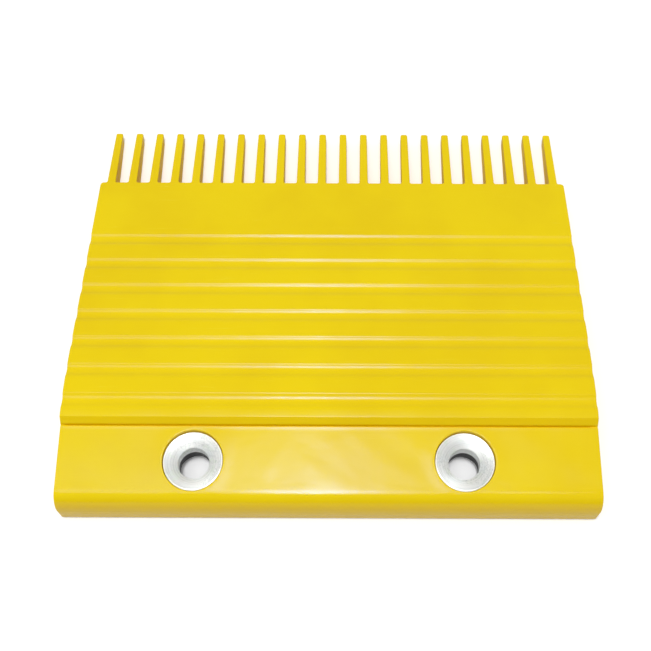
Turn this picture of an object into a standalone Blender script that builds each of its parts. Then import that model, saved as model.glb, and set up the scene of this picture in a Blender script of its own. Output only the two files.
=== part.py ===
"""Escalator comb plate: one moulded plastic wedge with a comb of teeth, and two steel screw bushes.

The moulding is where two extrusions meet: its side view carried across the width, and its plan
carried upwards. Lengths are in metres. +Z is up, +Y points towards the teeth, and the origin is
in the middle of the flat underside.
"""

import math

import bmesh
import bpy
from mathutils import Matrix

MM = 0.001

# Comb
TOOTH_COUNT = 22
TOOTH_PITCH = 9.068 * MM
TOOTH_LENGTH = 29.0 * MM
TOOTH_ROOT_WIDTH = 3.5 * MM
TOOTH_TIP_WIDTH = 3.0 * MM
TOOTH_TIP_RADIUS = 0.9 * MM
TOOTH_ROOT_RADIUS = 0.8 * MM
TOOTH_TIP_UNDERCUT = 1.0 * MM

# Land at the back, where the screws go
LAND_DEPTH = 30.5 * MM
LAND_ANGLE = math.radians(6.8)
LAND_TOP_HEIGHT = 17.84 * MM
BULLNOSE_RADIUS = 8.0 * MM

# Step from the land up to the ribbed ramp
STEP_LEAN = 1.0 * MM
STEP_EDGE_RADIUS = 3.0 * MM
STEP_FOOT_RADIUS = 0.25 * MM

# Ribbed ramp, which falls towards the teeth
RAMP_ANGLE = math.radians(7.5)
RAMP_FOOT_HEIGHT = 7.9 * MM
CROWN_RADIUS = 130.0 * MM
CROWN_END = 25.5 * MM
GROOVE_COUNT = 7
GROOVE_PITCH = 12.5 * MM
GROOVE_DEPTH = 0.94 * MM
GROOVE_RADIUS = 5.4 * MM
GROOVE_NEAR_EDGE = 4.2 * MM
GROOVE_FAR_EDGE = 1.2 * MM
FIRST_GROOVE = 8.8 * MM
SMOOTH_BAND = 31.1 * MM

# Corners and edges of the moulding
FRONT_CORNER_RADIUS = 1.5 * MM
BACK_CORNER_RADIUS = 1.5 * MM
TIP_TOP_RADIUS = 0.6 * MM
EDGE_RADIUS = 0.35 * MM

# Screw bushes
BUSH_SPACING = 100.0 * MM
BUSH_FROM_STEP = 13.3 * MM
FLANGE_RADIUS = 11.0 * MM
FLANGE_THICKNESS = 5.0 * MM
FLANGE_CHAMFER = 0.35 * MM
SLEEVE_RADIUS = 8.2 * MM
BORE_RADIUS = 5.8 * MM
DISH_RIM = 0.55 * MM
DISH_DEPTH = 2.6 * MM
DISH_ROLL = 0.6 * MM
BUSH_CHAMFER = 0.4 * MM
BUSH_CLEARANCE = 0.35 * MM
BUSH_SEAT_GAP = 0.3 * MM
BUSH_SIDES = 64

# Ribs and pockets of the underside
RIB_WIDTH = 3.5 * MM
RAMP_WALL = 3.4 * MM
LAND_WALL = 4.6 * MM
BACK_WALL = 4.0 * MM
FRONT_WALL = 3.2 * MM
CROSS_RIB_WIDTH = 3.0 * MM
BOSS_WALL = 3.0 * MM
POCKET_RADIUS = 0.6 * MM

# Arcs are drawn with about this angle for each short side
ARC_STEP = math.radians(30.0)
FINE_ARC_STEP = math.radians(9.0)
OVERSHOOT = 5.0 * MM

PLATE_WIDTH = TOOTH_COUNT * TOOTH_PITCH
RAMP_LENGTH = FIRST_GROOVE + (GROOVE_COUNT - 1) * GROOVE_PITCH + SMOOTH_BAND
TOTAL_LENGTH = LAND_DEPTH + RAMP_LENGTH + TOOTH_LENGTH
BACK_Y = -TOTAL_LENGTH / 2
STEP_Y = BACK_Y + LAND_DEPTH
ROOT_Y = STEP_Y + RAMP_LENGTH
TIP_Y = ROOT_Y + TOOTH_LENGTH
BUSH_Y = STEP_Y - BUSH_FROM_STEP

YELLOW = (0.84, 0.64, 0.006, 1.0)
ZINC = (0.72, 0.74, 0.72, 1.0)


def land_height(y):
    """Height of the land, or of its plane carried on, at y."""
    return LAND_TOP_HEIGHT + (y - STEP_Y) * math.tan(LAND_ANGLE)


def crown_height(y):
    """Height of the ramp without its grooves: a straight slope with a round crown by the step."""
    crown_end = STEP_Y + CROWN_END
    slope = RAMP_FOOT_HEIGHT + (ROOT_Y - max(y, crown_end)) * math.tan(RAMP_ANGLE)
    if y >= crown_end:
        return slope
    centre_y = crown_end - CROWN_RADIUS * math.sin(RAMP_ANGLE)
    drop = CROWN_RADIUS * math.cos(RAMP_ANGLE)
    return slope + math.sqrt(CROWN_RADIUS**2 - (y - centre_y) ** 2) - drop


def groove_centre(index):
    return STEP_Y + FIRST_GROOVE + index * GROOVE_PITCH


def groove_half(edge_radius):
    """Half a groove's section from its middle outwards, as (distance, depth below the crown).

    The hollow is an arc, and the edge is an arc the other way that meets it at one slope.
    """
    slope = math.acos(1 - GROOVE_DEPTH / (GROOVE_RADIUS + edge_radius))
    reach = (GROOVE_RADIUS + edge_radius) * math.sin(slope)
    count = max(1, round(slope / FINE_ARC_STEP))
    angles = [slope * short / count for short in range(count + 1)]
    hollow = [
        (GROOVE_RADIUS * math.sin(angle), GROOVE_DEPTH - GROOVE_RADIUS * (1 - math.cos(angle)))
        for angle in angles
    ]
    edge = [
        (reach - edge_radius * math.sin(angle), edge_radius * (1 - math.cos(angle)))
        for angle in reversed(angles[:-1])
    ]
    return hollow + edge


def grooved_stretch(index):
    """Points across one groove: its edge by the step is rounder than its edge by the teeth."""
    near = [(-distance, depth) for distance, depth in reversed(groove_half(GROOVE_NEAR_EDGE))]
    section = near + groove_half(GROOVE_FAR_EDGE)[1:]
    middle = groove_centre(index)
    return [(middle + along, crown_height(middle + along) - depth) for along, depth in section]


def rounded(corners):
    """A closed outline from corners (a, b, radius, arc step): each corner gets its arc."""
    outline = []
    for index, (a, b, radius, step) in enumerate(corners):
        if radius == 0:
            outline.append((a, b))
            continue
        before = corners[index - 1]
        after = corners[(index + 1) % len(corners)]
        back = math.atan2(before[1] - b, before[0] - a)
        ahead = math.atan2(after[1] - b, after[0] - a)
        opening = (ahead - back) % (2 * math.pi)
        turn = math.pi - opening
        middle = back + opening / 2
        side = 1 if turn > 0 else -1
        if side < 0:
            middle += math.pi
        reach = radius / math.cos(turn / 2)
        centre = (a + reach * math.cos(middle), b + reach * math.sin(middle))
        start = math.atan2(b - centre[1], a - centre[0]) + turn / 2
        count = max(1, round(abs(turn) / step))
        for short in range(count + 1):
            angle = start - turn * short / count
            outline.append((centre[0] + radius * math.cos(angle), centre[1] + radius * math.sin(angle)))
    return outline


def side_outline():
    """The side view as (y, z), round by the back, up over the land and the ramp to the teeth."""
    land_corner = (BACK_Y, land_height(BACK_Y), BULLNOSE_RADIUS, FINE_ARC_STEP)
    step_top = STEP_Y + STEP_LEAN
    corners = [
        (BACK_Y, 0.0, 0.0, 0.0),
        land_corner,
        (STEP_Y, LAND_TOP_HEIGHT, STEP_FOOT_RADIUS, ARC_STEP),
        (step_top, crown_height(step_top), STEP_EDGE_RADIUS, FINE_ARC_STEP),
    ]
    for index in range(GROOVE_COUNT):
        corners += [(y, z, 0.0, 0.0) for y, z in grooved_stretch(index)]
    corners.append((TIP_Y, crown_height(TIP_Y), TIP_TOP_RADIUS, ARC_STEP))
    corners.append((TIP_Y - TOOTH_TIP_UNDERCUT, 0.0, 0.0, 0.0))
    return rounded(corners)


def tooth_x(index):
    return (index - (TOOTH_COUNT - 1) / 2) * TOOTH_PITCH


def plan_outline():
    """The plan as (x, y): a plate whose front edge carries the tapered teeth."""
    half = PLATE_WIDTH / 2
    corners = [
        (half, ROOT_Y, FRONT_CORNER_RADIUS, ARC_STEP),
        (half, BACK_Y, BACK_CORNER_RADIUS, ARC_STEP),
        (-half, BACK_Y, BACK_CORNER_RADIUS, ARC_STEP),
        (-half, ROOT_Y, FRONT_CORNER_RADIUS, ARC_STEP),
    ]
    for index in range(TOOTH_COUNT):
        x = tooth_x(index)
        root = TOOTH_ROOT_WIDTH / 2
        tip = TOOTH_TIP_WIDTH / 2
        corners += [
            (x - root, ROOT_Y, TOOTH_ROOT_RADIUS, ARC_STEP),
            (x - tip, TIP_Y, TOOTH_TIP_RADIUS, ARC_STEP),
            (x + tip, TIP_Y, TOOTH_TIP_RADIUS, ARC_STEP),
            (x + root, ROOT_Y, TOOTH_ROOT_RADIUS, ARC_STEP),
        ]
    return rounded(corners)


def make_collection(name):
    collection = bpy.data.collections.new(name)
    bpy.context.scene.collection.children.link(collection)
    return collection


def make_material(name, colour, metallic, roughness):
    material = bpy.data.materials.new(name)
    material.use_nodes = True
    shader = material.node_tree.nodes["Principled BSDF"]
    shader.inputs["Base Color"].default_value = colour
    shader.inputs["Metallic"].default_value = metallic
    shader.inputs["Roughness"].default_value = roughness
    material.diffuse_color = colour
    return material


def extruded(name, outline, half_depth, matrix, collection):
    """A flat closed outline, filled and extruded both ways, as a welded mesh."""
    curve = bpy.data.curves.new(name + "_outline", "CURVE")
    curve.dimensions = "2D"
    curve.fill_mode = "BOTH"
    curve.extrude = half_depth
    spline = curve.splines.new("POLY")
    spline.points.add(len(outline) - 1)
    for point, (a, b) in zip(spline.points, outline):
        point.co = (a, b, 0.0, 1.0)
    spline.use_cyclic_u = True
    guide = bpy.data.objects.new(name + "_outline", curve)
    guide.matrix_world = matrix
    collection.objects.link(guide)
    bpy.context.view_layer.update()
    evaluated = guide.evaluated_get(bpy.context.evaluated_depsgraph_get())
    mesh = bpy.data.meshes.new_from_object(evaluated)
    mesh.name = name
    solid = bpy.data.objects.new(name, mesh)
    solid.matrix_world = guide.matrix_world.copy()
    collection.objects.link(solid)
    bpy.data.objects.remove(guide)
    shell = bmesh.new()
    shell.from_mesh(mesh)
    bmesh.ops.remove_doubles(shell, verts=shell.verts, dist=0.001 * MM)
    bmesh.ops.dissolve_limit(
        shell, angle_limit=math.radians(0.05), verts=shell.verts, edges=shell.edges
    )
    bmesh.ops.recalc_face_normals(shell, faces=shell.faces)
    shell.to_mesh(mesh)
    shell.free()
    return solid


def turned(name, profile, collection):
    """A closed profile of (radius, z), drawn down its outer side, turned about Z."""
    mesh = bpy.data.meshes.new(name)
    count = len(profile)
    points = [(radius, 0.0, z) for radius, z in profile]
    mesh.from_pydata(points, [(i, (i + 1) % count) for i in range(count)], [])
    solid = bpy.data.objects.new(name, mesh)
    collection.objects.link(solid)
    screw = solid.modifiers.new("turn", "SCREW")
    screw.axis = "Z"
    screw.angle = 2 * math.pi
    screw.steps = BUSH_SIDES
    screw.render_steps = BUSH_SIDES
    screw.use_merge_vertices = True
    screw.merge_threshold = 0.01 * MM
    screw.use_normal_calculate = False
    return solid


def as_cutter(solid):
    solid.hide_render = True
    solid.display_type = "WIRE"
    return solid


def boolean(target, other, operation):
    modifier = target.modifiers.new(operation.lower() + "_" + other.name, "BOOLEAN")
    modifier.operation = operation
    modifier.solver = "EXACT"
    modifier.object = other


def side_view_matrix():
    """Turns an outline's own x, y and depth to the part's y, z and x."""
    return Matrix(((0, 0, 1, 0), (1, 0, 0, 0), (0, 1, 0, 0), (0, 0, 0, 1)))


def bush_x(side):
    return side * BUSH_SPACING / 2


def bush_top():
    """The flange is level, and meets the sloping land at its back edge."""
    return land_height(BUSH_Y - FLANGE_RADIUS)


def make_bush(name, side, collection):
    """A turned sleeve with a flange, a dished seat for the screw's head and a plain bore."""
    top = bush_top()
    under = top - FLANGE_THICKNESS
    dish = FLANGE_RADIUS - DISH_RIM
    seat = top - DISH_DEPTH
    slope = DISH_DEPTH / (dish - BORE_RADIUS)
    profile = [
        (dish, top),
        (FLANGE_RADIUS - FLANGE_CHAMFER, top),
        (FLANGE_RADIUS, top - FLANGE_CHAMFER),
        (FLANGE_RADIUS, under),
        (SLEEVE_RADIUS, under),
        (SLEEVE_RADIUS, BUSH_CHAMFER),
        (SLEEVE_RADIUS - BUSH_CHAMFER, 0.0),
        (BORE_RADIUS + BUSH_CHAMFER, 0.0),
        (BORE_RADIUS, BUSH_CHAMFER),
        (BORE_RADIUS, seat - DISH_ROLL),
        (BORE_RADIUS + DISH_ROLL * 0.3, seat - DISH_ROLL * 0.25),
        (BORE_RADIUS + DISH_ROLL, seat + DISH_ROLL * slope),
    ]
    bush = turned(name, profile, collection)
    bush.location = (bush_x(side), BUSH_Y, 0.0)
    return bush


def make_bush_hole(name, side, collection):
    """The stepped hole that holds a bush, with its clearance all round."""
    floor = bush_top() - FLANGE_THICKNESS - BUSH_SEAT_GAP
    profile = [
        (0.0, LAND_TOP_HEIGHT + OVERSHOOT),
        (FLANGE_RADIUS + BUSH_CLEARANCE, LAND_TOP_HEIGHT + OVERSHOOT),
        (FLANGE_RADIUS + BUSH_CLEARANCE, floor),
        (SLEEVE_RADIUS + BUSH_CLEARANCE, floor),
        (SLEEVE_RADIUS + BUSH_CLEARANCE, -OVERSHOOT),
        (0.0, -OVERSHOOT),
    ]
    hole = turned(name, profile, collection)
    hole.location = (bush_x(side), BUSH_Y, 0.0)
    return as_cutter(hole)


def pocket_side(start_y, end_y, height):
    """Side view of a pocket from below, whose roof follows height(y) at both ends."""
    return rounded(
        [
            (start_y, -OVERSHOOT, 0.0, 0.0),
            (start_y, height(start_y), POCKET_RADIUS, ARC_STEP),
            (end_y, height(end_y), POCKET_RADIUS, ARC_STEP),
            (end_y, -OVERSHOOT, 0.0, 0.0),
        ]
    )


def pocket_centres():
    """The pockets lie between the ribs, and the ribs stand in line with the teeth."""
    return [tooth_x(index) + TOOTH_PITCH / 2 for index in range(TOOTH_COUNT - 1)]


def clear_of_bosses(x):
    boss = SLEEVE_RADIUS + BUSH_CLEARANCE + BOSS_WALL
    half = (TOOTH_PITCH - RIB_WIDTH) / 2
    return min(abs(x - bush_x(-1)), abs(x - bush_x(1))) > boss + half


def ramp_roof(y):
    return crown_height(y) - GROOVE_DEPTH - RAMP_WALL


def land_roof(y):
    return land_height(y) - LAND_WALL


def make_pockets(name, start_y, end_y, roof, centres, collection):
    """A row of like pockets, joined in one cutter."""
    outline = pocket_side(start_y, end_y, roof)
    half = (TOOTH_PITCH - RIB_WIDTH) / 2
    cutters = []
    for x in centres:
        matrix = Matrix.Translation((x, 0.0, 0.0)) @ side_view_matrix()
        cutters.append(extruded(name, outline, half, matrix, collection))
    with bpy.context.temp_override(
        active_object=cutters[0], object=cutters[0], selected_editable_objects=cutters
    ):
        bpy.ops.object.join()
    return as_cutter(cutters[0])


def make_plate(parts, cutters):
    """The moulding: side view and plan intersected, edges eased, then the underside and holes cut."""
    plate = extruded("comb_plate", side_outline(), PLATE_WIDTH / 2 + OVERSHOOT, side_view_matrix(), parts)
    plan = as_cutter(
        extruded("plan_shape", plan_outline(), LAND_TOP_HEIGHT + 2 * OVERSHOOT, Matrix(), cutters)
    )
    boolean(plate, plan, "INTERSECT")
    weld = plate.modifiers.new("weld", "WELD")
    weld.merge_threshold = 0.02 * MM
    edges = plate.modifiers.new("eased_edges", "BEVEL")
    edges.limit_method = "ANGLE"
    edges.angle_limit = math.radians(50.0)
    edges.width = EDGE_RADIUS
    edges.segments = 2
    edges.use_clamp_overlap = False
    web = STEP_Y + STEP_EDGE_RADIUS
    middle = groove_centre((GROOVE_COUNT - 1) // 2)
    centres = pocket_centres()
    rear = [x for x in centres if clear_of_bosses(x)]
    rows = [
        ("rear_pockets", BACK_Y + BACK_WALL, web - CROSS_RIB_WIDTH, land_roof, rear),
        ("middle_pockets", web, middle - CROSS_RIB_WIDTH / 2, ramp_roof, centres),
        ("front_pockets", middle + CROSS_RIB_WIDTH / 2, ROOT_Y - FRONT_WALL, ramp_roof, centres),
    ]
    for name, start_y, end_y, roof, row_centres in rows:
        pockets = make_pockets(name, start_y, end_y, roof, row_centres, cutters)
        boolean(plate, pockets, "DIFFERENCE")
    for name, side in (("left_bush_hole", -1), ("right_bush_hole", 1)):
        boolean(plate, make_bush_hole(name, side, cutters), "DIFFERENCE")
    return plate


def main():
    for leftover in list(bpy.data.objects):
        bpy.data.objects.remove(leftover)
    parts = make_collection("escalator_comb_plate")
    cutters = make_collection("cutters")
    plastic = make_material("yellow_plastic", YELLOW, 0.0, 0.28)
    zinc = make_material("zinc_plated_steel", ZINC, 1.0, 0.3)
    plate = make_plate(parts, cutters)
    plate.data.materials.append(plastic)
    for name, side in (("left_bush", -1), ("right_bush", 1)):
        bush = make_bush(name, side, parts)
        bush.data.materials.append(zinc)


main()
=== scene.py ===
"""Finished surfaces of an escalator comb plate: a yellow moulding and two turned screw bushes.

The file is laid out as an add-on and is run as a script. Lengths are in metres, in the frame of the
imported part: +Z is up, +Y points towards the teeth, and the origin is in the middle of the flat
underside.
"""

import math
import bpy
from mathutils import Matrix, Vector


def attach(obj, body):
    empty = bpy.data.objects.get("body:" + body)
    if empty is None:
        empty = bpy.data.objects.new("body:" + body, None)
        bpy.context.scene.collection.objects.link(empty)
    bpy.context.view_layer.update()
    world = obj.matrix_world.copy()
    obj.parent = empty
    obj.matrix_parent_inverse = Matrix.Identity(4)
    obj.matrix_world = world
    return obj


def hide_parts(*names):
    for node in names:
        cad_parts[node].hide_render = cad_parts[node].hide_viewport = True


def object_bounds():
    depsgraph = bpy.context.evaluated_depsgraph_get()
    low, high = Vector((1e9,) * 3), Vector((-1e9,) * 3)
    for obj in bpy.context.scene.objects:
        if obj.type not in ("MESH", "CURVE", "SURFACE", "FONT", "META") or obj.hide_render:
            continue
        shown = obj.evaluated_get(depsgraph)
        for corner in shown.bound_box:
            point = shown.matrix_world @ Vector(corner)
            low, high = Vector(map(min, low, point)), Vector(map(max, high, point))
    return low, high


bl_info = {
    "name": "Escalator Comb Plate",
    "version": (1, 0, 0),
    "blender": (4, 5, 0),
    "location": "View3D > Sidebar > Comb Plate",
    "description": "Builds the finished surfaces of an escalator comb plate and its studio",
    "category": "Add Mesh",
}

import bmesh
import bpy
import numpy as np
from bpy.props import FloatProperty, FloatVectorProperty, IntProperty, PointerProperty
from mathutils import Matrix
from mathutils.geometry import delaunay_2d_cdt

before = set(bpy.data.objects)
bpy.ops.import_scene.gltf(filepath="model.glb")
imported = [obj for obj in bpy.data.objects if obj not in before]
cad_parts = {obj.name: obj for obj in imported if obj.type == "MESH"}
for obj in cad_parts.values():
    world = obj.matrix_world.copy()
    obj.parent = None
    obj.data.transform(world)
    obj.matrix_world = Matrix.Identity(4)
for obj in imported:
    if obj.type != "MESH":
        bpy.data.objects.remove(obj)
CAD_LOW, CAD_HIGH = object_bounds()
MM = 0.001
TURNS = "turns"

# The moulding's soft waves: their lengths along x and y in millimetres, the reach over which they
# fade out, and how far they and the land's loose points keep from a recess's rim.
WAVES = ((61, 23), (37, 17), (23, -29), (16, 13), (11.5, -19), (90, -41))
WAVE_FADE = 4 * MM
RIM_MARGIN = 0.3 * MM

# The colour sockets of a Mix node, which share their names with its number and vector sockets.
MIX_FIRST, MIX_SECOND, MIX_RESULT = 6, 7, 2


def number(name, description, default, **kind):
    """A property for one number, of the kind that its unit, subtype and limits say."""
    return FloatProperty(name=name, description=description, default=default, **kind)


def length(name, description, millimetres):
    """A property for one length: its default is given in millimetres, and it is kept in metres."""
    return number(name, description, millimetres * MM, unit="LENGTH", precision=5)


def angle(name, description, degrees):
    """A property for one angle: its default is given in degrees, and it is kept in radians."""
    return number(name, description, math.radians(degrees), subtype="ANGLE", unit="ROTATION")


def colour(name, description, default):
    """A property for one colour, as linear red, green and blue."""
    return FloatVectorProperty(
        name=name,
        description=description,
        default=default,
        subtype="COLOR",
        size=3,
        min=0.0,
        max=1.0,
    )


def factor(name, description, default):
    """A property for a share from 0 to 1."""
    return number(name, description, default, min=0.0, max=1.0, subtype="FACTOR")


def wattage(name, description, default):
    """A property for a lamp's power, in watts."""
    return number(name, description, default, min=0.0, unit="POWER")


class MouldingSettings(bpy.types.PropertyGroup):
    """Sizes and colours of the yellow moulding."""

    tooth_count: IntProperty(name="Teeth", description="Number of teeth", default=22, min=2)
    tooth_pitch: length("Tooth pitch", "Distance from tooth to tooth", 9.068)
    tooth_length: length("Tooth length", "From the root line to the tips", 28.97)
    tooth_root_width: length("Tooth root width", "Width of a tooth at its root", 3.5)
    tooth_tip_width: length("Tooth tip width", "Width of a tooth at its tip", 3.0)
    tooth_tip_radius: length("Tooth tip radius", "Corner radius of a tip in plan", 0.9)
    tooth_root_radius: length("Tooth root radius", "Fillet between teeth in plan", 0.8)
    tip_top_radius: length("Tip top radius", "Rounding of a tip's upper edge", 0.6)
    tip_undercut: length("Tip undercut", "How far a tip leans back at its foot", 2.8)
    land_depth: length("Land depth", "From the back wall to the step", 30.5)
    land_angle: angle("Land angle", "Fall of the land towards the back", 6.8)
    land_top_height: length("Land height", "Height of the land at the step", 17.84)
    nose_depth: length("Nose depth", "Reach of the round back edge, along the plate", 6.65)
    nose_foot: length("Nose foot", "Height at which the nose meets the back wall", 4.0)
    brow_radius: length("Brow radius", "Bend where the land turns down into the nose", 9.5)
    brow_angle: angle("Brow angle", "Slope at which that bend ends", 19.0)
    nose_foot_radius: length("Nose foot radius", "Rounding of the back wall's foot", 1.6)
    step_lean: length("Step lean", "How far the step's face leans forwards", 2.2)
    step_edge_radius: length("Step edge radius", "Rounding of the step's upper edge", 0.4)
    step_ease: length("Step ease", "Soft sinking of the ramp towards the step", 0.45)
    step_ease_reach: length("Step ease reach", "From the step to where it starts", 6.6)
    seam_width: length("Seam width", "Width of the slot behind the step's foot", 0.85)
    seam_depth: length("Seam depth", "Depth of that slot", 1.25)
    seam_lip: length("Seam lip", "Rise of the land towards the slot", 0.06)
    boss_rise: length("Boss rise", "Soft rise of the land round a recess", 0.14)
    boss_width: length("Boss width", "Width of that rise", 4.0)
    ramp_angle: angle("Ramp angle", "Fall of the ramp towards the teeth", 7.5)
    ramp_foot_height: length("Ramp foot height", "Height of the ramp at the tooth roots", 7.85)
    crown_radius: length("Crown radius", "Radius of the ramp's round top", 130.0)
    crown_end: length("Crown end", "From the step to where the ramp turns straight", 25.5)
    groove_count: IntProperty(
        name="Grooves", description="Number of cross grooves", default=7, min=1
    )
    groove_pitch: length("Groove pitch", "Distance from groove to groove", 12.5)
    groove_depth: length("Groove depth", "Depth of a groove", 0.90)
    groove_radius: length("Groove radius", "Radius of a groove's hollow", 4.5)
    groove_near_edge: length("Near edge", "Rounding of a groove's edge by the step", 4.2)
    groove_far_edge: length("Far edge", "Rounding of a groove's edge by the teeth", 0.75)
    first_groove: length("First groove", "From the step to the first groove's middle", 8.8)
    smooth_band: length("Smooth band", "From the last groove's middle to the roots", 31.1)
    front_corner_radius: length("Front corner radius", "Corner by the end teeth, in plan", 1.5)
    back_corner_radius: length("Back corner radius", "Corner at the back, in plan", 1.0)
    edge_radius: length("Edge radius", "Rounding of the upper edges", 0.35)
    foot_radius: length("Foot radius", "Rounding of the lower edges", 0.3)
    waviness: length("Waviness", "Height of the moulding's soft waves", 0.008)
    plastic: colour("Plastic", "Yellow of the moulding", (0.85, 0.635, 0.001))
    plastic_dark: colour("Deep plastic", "Yellow of its darker clouds", (0.81, 0.585, 0.001))
    plastic_scuff: colour("Scuffs", "Yellow of its fine scuffs", (0.88, 0.70, 0.03))
    # Painted shade: a deeper, more orange yellow given to the steep faces for the tone they take
    # turned from the light.
    plastic_side_painted_shade: colour("Steep faces", "Yellow of the steep faces", (0.88, 0.59, 0.001))


class BushSettings(bpy.types.PropertyGroup):
    """Sizes and colours of the turned screw bushes and of the recesses that hold them."""

    spacing: length("Spacing", "Distance between the two bushes", 100.0)
    from_step: length("From step", "From the step back to the bushes", 13.3)
    flange_radius: length("Flange radius", "Radius of the flange", 11.0)
    flange_thickness: length("Flange thickness", "Thickness of the flange", 5.0)
    flange_edge: length("Flange edge", "Rounding of the flange's upper edge", 0.35)
    sleeve_radius: length("Sleeve radius", "Outer radius of the sleeve", 8.2)
    bore_radius: length("Bore radius", "Radius of the screw hole", 5.8)
    flange_tilt: angle("Flange tilt", "Tilt of the flange along with the land", 4.5)
    flange_sink: length("Flange sink", "Depth of its back rim below the land", 0.45)
    dish_rim: length("Dish rim", "Level rim outside the dished seat", 0.55)
    dish_bend: length("Dish bend", "Radius at which the seat grows steeper", 8.1)
    dish_bend_depth: length("Dish bend depth", "Depth of the seat there", 0.95)
    dish_depth: length("Dish depth", "Depth of the dished seat at the bore", 2.6)
    relief_radius: length("Relief radius", "Radius of the wider bore below", 7.2)
    relief_height: length("Relief height", "Height at which the bore narrows", 4.6)
    mouth_radius: length("Mouth radius", "Rounding where the dish meets the bore", 0.5)
    recess_gap: length("Recess gap", "Clearance round the flange and the sleeve", 0.2)
    seat_gap: length("Seat gap", "Clearance below the flange", 0.3)
    recess_edge: length("Recess edge", "Rounding of the recess's rim", 0.3)
    # Painted shade: the bore is coloured black up to this height, for the deep shade in the hole.
    bore_painted_shade_height: length("Dark height", "Height to which the bore is black", 8.7)
    zinc: colour("Zinc", "Colour of the zinc plating", (0.94, 0.95, 0.93))
    zinc_tint: colour("Zinc tint", "Colour of the plating's cooler clouds", (0.84, 0.88, 0.88))
    zinc_green: colour("Zinc green", "Colour of the plating's faint green film", (0.86, 0.93, 0.84))
    zinc_speck: colour("Zinc specks", "Colour in the plating's pores and rings", (0.55, 0.58, 0.57))
    zinc_roughness: factor("Zinc roughness", "Roughness of the plating where it is smoothest", 0.40)
    zinc_grain: factor("Zinc grain", "How far the lathe's marks draw out the shine", 0.85)
    zinc_shine: factor("Zinc shine", "Share of the plating that shines as bare metal", 0.6)


class StudioSettings(bpy.types.PropertyGroup):
    """Camera, light and floor."""

    camera_x: length("Camera x", "The camera's place across the plate", 5.3)
    camera_y: length("Camera y", "The camera's place along the plate", -189.1)
    camera_z: length("Camera height", "The camera's height above the floor", 366.2)
    camera_tilt: angle("Camera tilt", "Tilt from straight down", 26.5)
    camera_turn: angle("Camera turn", "Turn about the upright", -0.14)
    camera_roll: angle("Camera roll", "Roll about the line of sight", 0.36)
    lens: number("Lens", "Focal length on a 36 mm frame", 55.3, min=1.0, unit="CAMERA")
    shift: number("Shift", "Sideways shift of the frame", -0.030)
    light_height: length("Light height", "Height of both soft lights overhead", 2000.0)
    light_y: length("Light place", "Both soft lights' place along the plate", -270.0)
    light_depth: length("Light depth", "Depth of both soft lights, along the plate", 760.0)
    key_x: length("Key side", "The key light's place across the plate", -60.0)
    key_width: length("Key width", "Width of the key light", 240.0)
    key_power: wattage("Key power", "Power of the key light", 17.0)
    bar_x: length("Bar side", "The long light's place across the plate", -250.0)
    bar_width: length("Bar width", "Width of the long light", 1600.0)
    bar_power: wattage("Bar power", "Power of the long light", 10.0)
    sky_high: factor("Upper sky", "Strength of the sky overhead", 0.44)
    sky_low: factor("Lower sky", "Strength of the sky at the horizon behind the plate", 0.25)
    floor_colour: colour("Floor", "Colour of the floor as it is seen", (0.97, 0.97, 0.97))
    floor_bounce: colour("Floor bounce", "Colour with which it lights the plate", (0.6, 0.6, 0.6))
    floor_glow: factor("Floor glow", "Share of white in the floor as it is seen", 0.12)
    floor_size: length("Floor size", "Side of the square floor", 12000.0)


def moulding_settings():
    return bpy.context.scene.comb_moulding


def bush_settings():
    return bpy.context.scene.comb_bushes


def studio_settings():
    return bpy.context.scene.comb_studio


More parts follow.
